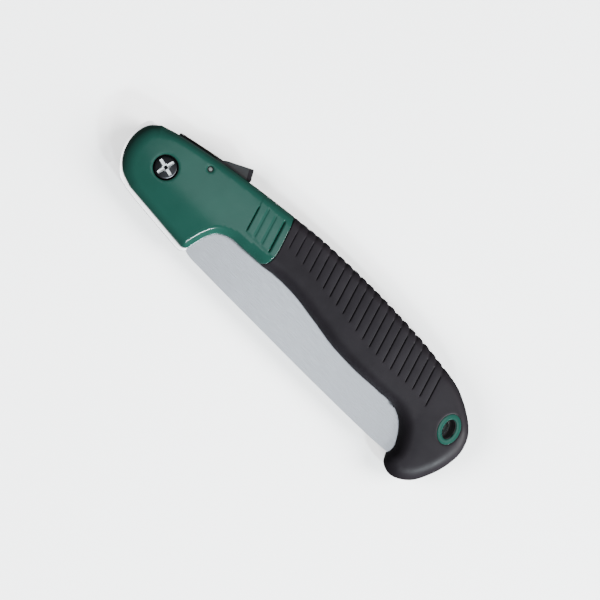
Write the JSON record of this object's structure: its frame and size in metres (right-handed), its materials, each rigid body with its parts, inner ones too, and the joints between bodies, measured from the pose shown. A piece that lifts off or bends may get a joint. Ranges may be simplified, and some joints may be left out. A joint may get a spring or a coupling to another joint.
{
  "type": "folding pruning saw",
  "caption": "Folding pruning saw, closed: blade hinged in a green and black handle with rubber ribs, a thumb lever lock at the head and a hanging hole in the tail.",
  "frame": {"origin": "bottom centre of the closed saw's box, as it lies on its right side", "axes": "+X from the pivot head to the tail of the handle, +Y towards the handle's back, +Z out of the saw's left side"},
  "size_m": [0.2294, 0.0612, 0.021],
  "materials": {
    "green_plastic": "satin moulded plastic",
    "black_rubber": "soft matt moulded rubber",
    "blade_steel": "ground and plated, fine lengthwise grain",
    "liner_steel": "bright stamped plate with a polished edge",
    "black_plastic": "satin moulded plastic",
    "screw_steel": "zinc-plated, worn bright at the cross",
    "plate_steel": "stamped, hardened",
    "washer_bronze": "dull bronze"
  },
  "bodies": {
    "handle": {"left_shell": "green_plastic", "right_shell": "green_plastic", "left_grip": "black_rubber", "right_grip": "black_rubber", "left_liner": "liner_steel", "right_liner": "liner_steel", "back_spacer": "liner_steel", "left_washer": "washer_bronze", "right_washer": "washer_bronze", "pivot_bush": "screw_steel", "pivot_bolt": "screw_steel", "pivot_nut": "screw_steel", "spring_washer": "screw_steel", "stop_pin": "screw_steel", "lever_pin": "screw_steel", "lock_spring": "screw_steel", "shell_screw_1": "screw_steel", "shell_screw_2": "screw_steel", "shell_screw_3": "screw_steel"},
    "blade": {"blade": "blade_steel"},
    "lock": {"lock_plate": "plate_steel", "thumb_lever": "black_plastic"}
  },
  "joints": [
    {"name": "blade_swing", "type": "hinge", "parent": "handle", "child": "blade", "pos_m": [-0.0909, 0.00031, 0.0105], "axis": [0, 0, -1], "range_deg": [0, 170]},
    {"name": "lock_lever", "type": "hinge", "parent": "handle", "child": "lock", "pos_m": [-0.0747, 0.01511, 0.0105], "axis": [0, 0, -1], "range_deg": [-4, 6], "stiffness_Nm_per_rad": 0.5, "springref_deg": -11.46, "deforming": ["lock_spring"]}
  ]
}
